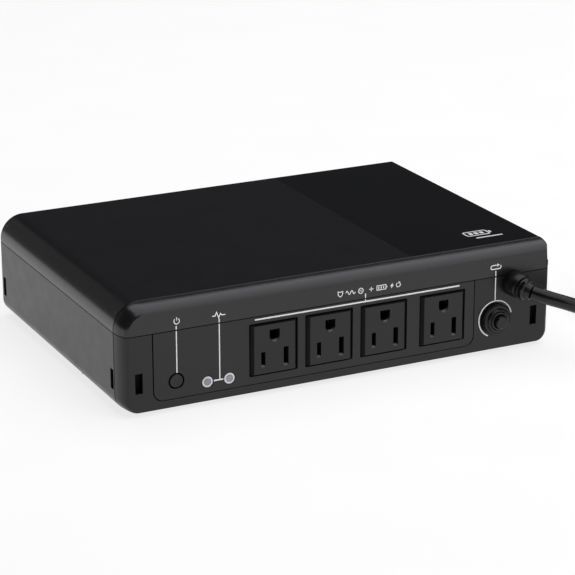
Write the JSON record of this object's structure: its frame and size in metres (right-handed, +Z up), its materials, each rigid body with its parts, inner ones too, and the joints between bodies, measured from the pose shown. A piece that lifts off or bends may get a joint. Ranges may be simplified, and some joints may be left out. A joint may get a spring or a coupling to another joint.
{
  "type": "uninterruptible power supply",
  "caption": "Low desktop battery backup box with a row of grounded outlets, a power button, status lights, a reset breaker and a fixed mains cord on its front.",
  "frame": {"origin": "middle of the unit's footprint, cord left out, on the plane that its feet stand on", "axes": "+Z up, +X to the right along the front, -Y out of the front where the outlets are"},
  "size_m": [0.406, 0.2053, 0.0572],
  "materials": {
    "cover_plastic": "satin black over most of the top, polished black at its right end",
    "case_plastic": "fine moulded texture, satin",
    "panel_plastic": "fine moulded texture, satin",
    "outlet_plastic": "smooth satin",
    "button_plastic": "satin",
    "lens_plastic": "milky light pipe",
    "white_print": "pad-printed white",
    "black_nylon": "moulded nylon",
    "cord_pvc": "smooth satin PVC",
    "rubber": "matt",
    "brass": "stamped",
    "nickel": "nickel plated",
    "steel": "zinc plated",
    "core_steel": "varnished laminations",
    "coil_tape": "polyester tape over copper windings",
    "board_laminate": "solder mask",
    "battery_case": "moulded ABS",
    "foam": "closed-cell foam",
    "aluminium": "extruded",
    "component_black": "moulded",
    "component_yellow": "dipped",
    "led_resin": "clear resin",
    "red_wire": "PVC insulation",
    "black_wire": "PVC insulation",
    "white_wire": "PVC insulation",
    "green_wire": "PVC insulation"
  },
  "bodies": {
    "case": {"top_cover": "cover_plastic", "bottom_case": "case_plastic", "front_panel": "panel_plastic", "outlet_1": "outlet_plastic", "outlet_2": "outlet_plastic", "outlet_3": "outlet_plastic", "outlet_4": "outlet_plastic", "status_lens_left": "lens_plastic", "status_lens_right": "lens_plastic", "strain_relief": "black_nylon", "breaker_nut": "black_nylon", "cord_tie": "black_nylon", "outlet_rear_cover": "black_nylon", "power_cord": "cord_pvc", "cord_coil": "cord_pvc", "cord_tail": "cord_pvc", "plug_body": "cord_pvc", "foot_1": "rubber", "foot_2": "rubber", "foot_3": "rubber", "foot_4": "rubber", "line_busbar": "brass", "neutral_busbar": "brass", "ground_busbar": "brass", "plug_line_blade": "nickel", "plug_neutral_blade": "nickel", "plug_ground_pin": "nickel", "battery_terminal_positive": "nickel", "battery_terminal_negative": "nickel", "board_screw_1": "steel", "board_screw_2": "steel", "board_screw_3": "steel", "board_screw_4": "steel", "bracket_screw_1": "steel", "bracket_screw_2": "steel", "transformer_bracket": "steel", "transformer_core": "core_steel", "transformer_coil": "coil_tape", "main_board": "board_laminate", "indicator_board": "board_laminate", "battery": "battery_case", "bulk_capacitor": "battery_case", "battery_pad": "foam", "heatsink": "aluminium", "relay": "component_black", "buzzer": "component_black", "power_switch": "component_black", "breaker_body": "component_black", "filter_capacitor": "component_yellow", "status_led_left": "led_resin", "status_led_right": "led_resin", "battery_lead_positive": "red_wire", "mains_lead_line": "black_wire", "battery_lead_negative": "black_wire", "mains_lead_neutral": "white_wire", "mains_lead_ground": "green_wire"},
    "power_button": {"power_button": "button_plastic", "switch_plunger": "button_plastic"},
    "reset_button": {"breaker_button": "black_nylon"}
  },
  "joints": [
    {"name": "power_button_press", "type": "slide", "parent": "case", "child": "power_button", "axis": [0, 1, 0], "range_m": [0, 0.001], "stiffness_N_per_m": 400},
    {"name": "reset_button_trip", "type": "slide", "parent": "case", "child": "reset_button", "axis": [0, -1, 0], "range_m": [0, 0.003]}
  ]
}
